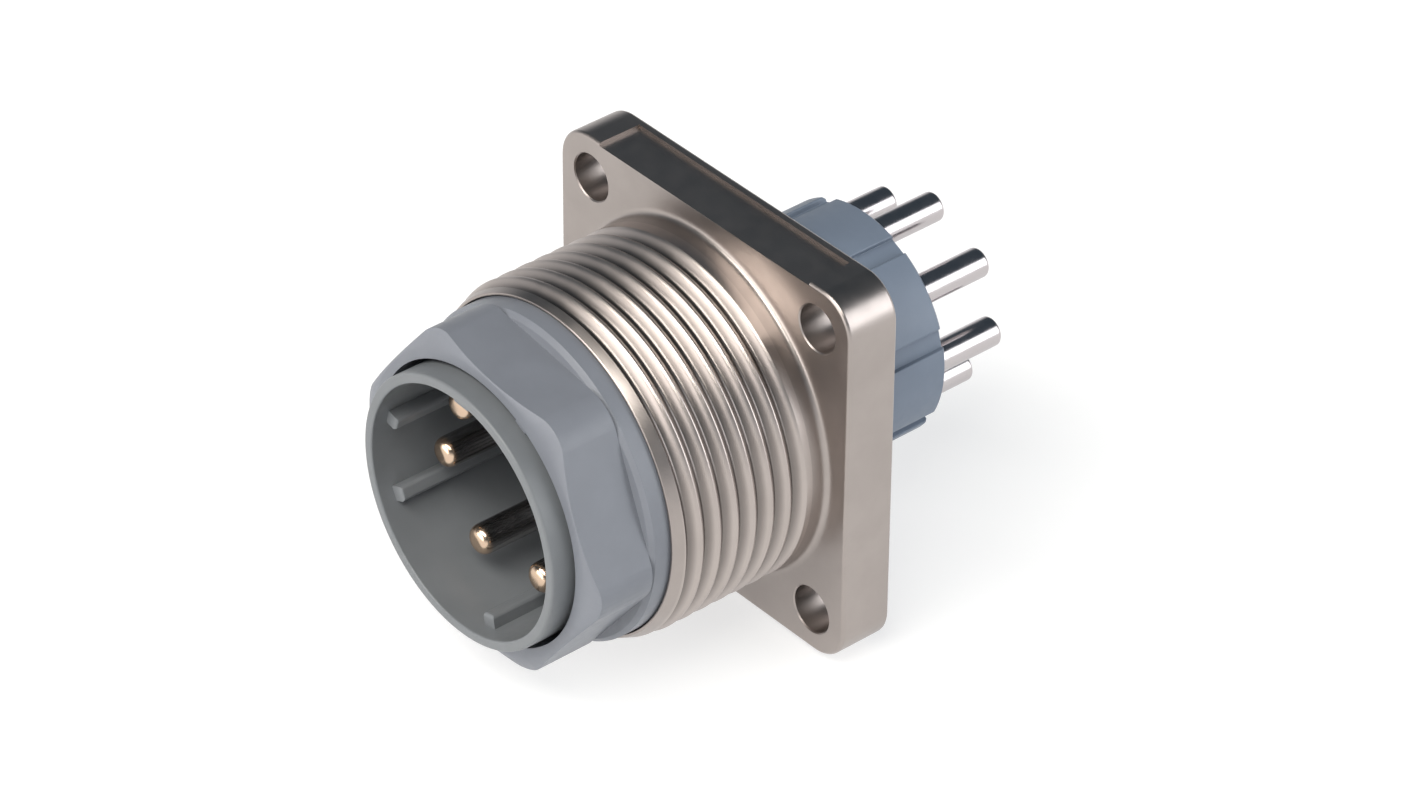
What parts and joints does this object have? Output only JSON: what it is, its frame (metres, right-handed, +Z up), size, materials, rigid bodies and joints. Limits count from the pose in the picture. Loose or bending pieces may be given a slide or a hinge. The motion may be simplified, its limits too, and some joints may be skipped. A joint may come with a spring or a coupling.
{
  "type": "panel-mount circular power connector",
  "caption": "Square-flange circular power connector with a threaded metal barrel, a plastic clamping hexagon, a keyed cup of pins and straight solder pins behind.",
  "frame": {"origin": "centre of the flange's rear face, on the axis", "axes": "+Y along the axis from the mating side towards the solder pins, +Z up, +X to the right when seen from the mating side"},
  "size_m": [0.027, 0.0381, 0.027],
  "materials": {
    "nickel_shell": "satin",
    "ring_plastic": "satin",
    "carrier_plastic": "satin",
    "insulator_plastic": "satin",
    "washer_plastic": "satin",
    "contact_metal": "plated",
    "spring_metal": "satin",
    "seal_rubber": "matt"
  },
  "bodies": {
    "root": {"housing": "nickel_shell", "clamp_ring": "ring_plastic", "slide_washer": "washer_plastic", "contact_carrier": "carrier_plastic", "rear_insulator": "insulator_plastic", "housing_seal": "seal_rubber", "earth_spring": "spring_metal", "contact_1": "contact_metal", "contact_2": "contact_metal", "contact_3": "contact_metal", "contact_4": "contact_metal", "contact_5": "contact_metal", "contact_6": "contact_metal", "earth_contact": "contact_metal"}
  },
  "joints": []
}
